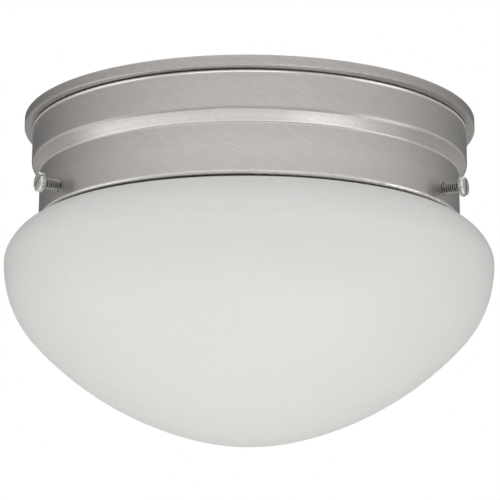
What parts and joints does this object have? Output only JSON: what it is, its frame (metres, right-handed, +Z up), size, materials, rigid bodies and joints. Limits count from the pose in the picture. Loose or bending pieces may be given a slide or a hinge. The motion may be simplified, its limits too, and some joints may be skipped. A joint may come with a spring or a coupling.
{
  "type": "flush mount ceiling light",
  "caption": "Round flush mount ceiling light: stepped brushed metal canopy ring with a mushroom shaped opal glass shade held by thumbscrews over screw base lamps.",
  "frame": {"origin": "centre of the ceiling plane: top face of the mounting strap and upper edge of the ring's lip", "axes": "+Z up into the ceiling, the light hangs below; front is -Y; +X to the right, along the strap and the lamps' axes"},
  "size_m": [0.2348, 0.2348, 0.1563],
  "materials": {
    "brushed_nickel": "satin brushed nickel plate on drawn steel, fine slanted strokes",
    "white_enamel": "white baked enamel on steel sheet",
    "glass_fibre": "matted glass fibre, pale yellow",
    "zinc_steel": "bright zinc plate",
    "green_steel": "green dyed zinc plate",
    "black_plastic": "black moulded nylon",
    "brass": "plain brass",
    "opal_glass": "blown opal glass, satin etched, white and nearly opaque",
    "nickel_screw": "bright nickel plate",
    "porcelain": "white glazed porcelain",
    "shell_aluminium": "rolled aluminium",
    "black_lead": "black silicone wire insulation",
    "white_lead": "white silicone wire insulation",
    "frosted_glass": "frosted bulb glass",
    "black_glass": "black vitrite glass",
    "solder": "soft solder",
    "stem_glass": "clear lead glass",
    "tungsten": "drawn tungsten and nickel wire"
  },
  "bodies": {
    "canopy": {"canopy_ring": "brushed_nickel", "canopy_plate": "white_enamel", "insulation_pad": "glass_fibre", "mounting_strap": "zinc_steel", "mounting_screws": "zinc_steel", "earth_screw": "green_steel", "wire_bushing": "black_plastic", "screw_nuts": "zinc_steel", "bracket_rivets": "zinc_steel", "holder_rivets": "brass", "holder_bracket_left": "zinc_steel", "holder_body_left": "porcelain", "holder_shell_left": "shell_aluminium", "holder_contact_left": "brass", "lead_live_left": "black_lead", "lead_neutral_left": "white_lead", "holder_bracket_right": "zinc_steel", "holder_body_right": "porcelain", "holder_shell_right": "shell_aluminium", "holder_contact_right": "brass", "lead_live_right": "black_lead", "lead_neutral_right": "white_lead"},
    "shade": {"glass_shade": "opal_glass"},
    "thumbscrew_rear": {"thumbscrew_rear": "nickel_screw"},
    "thumbscrew_left": {"thumbscrew_left": "nickel_screw"},
    "thumbscrew_right": {"thumbscrew_right": "nickel_screw"},
    "lamp_left": {"lamp_bulb_left": "frosted_glass", "lamp_cap_left": "shell_aluminium", "lamp_insulator_left": "black_glass", "lamp_contact_left": "solder", "lamp_stem_left": "stem_glass", "lamp_filament_left": "tungsten"},
    "lamp_right": {"lamp_bulb_right": "frosted_glass", "lamp_cap_right": "shell_aluminium", "lamp_insulator_right": "black_glass", "lamp_contact_right": "solder", "lamp_stem_right": "stem_glass", "lamp_filament_right": "tungsten"}
  },
  "joints": [
    {"name": "shade_drop", "type": "slide", "parent": "canopy", "child": "shade", "axis": [0, 0, -1], "range_m": [0, 0.028]},
    {"name": "rear_screw_travel", "type": "slide", "parent": "canopy", "child": "thumbscrew_rear", "axis": [0, 1, 0], "range_m": [0, 0.0045]},
    {"name": "left_screw_travel", "type": "slide", "parent": "canopy", "child": "thumbscrew_left", "axis": [-0.866, -0.5, 0], "range_m": [0, 0.0045]},
    {"name": "right_screw_travel", "type": "slide", "parent": "canopy", "child": "thumbscrew_right", "axis": [0.866, -0.5, 0], "range_m": [0, 0.0045]},
    {"name": "left_lamp_travel", "type": "slide", "parent": "canopy", "child": "lamp_left", "axis": [1, 0, 0], "range_m": [0, 0.025]},
    {"name": "right_lamp_travel", "type": "slide", "parent": "canopy", "child": "lamp_right", "axis": [-1, 0, 0], "range_m": [0, 0.025]}
  ],
  "couplings": [
    {"joint": "rear_screw_travel", "follows": "shade_drop", "ratio": 0.16},
    {"joint": "left_screw_travel", "follows": "shade_drop", "ratio": 0.16},
    {"joint": "right_screw_travel", "follows": "shade_drop", "ratio": 0.16}
  ]
}
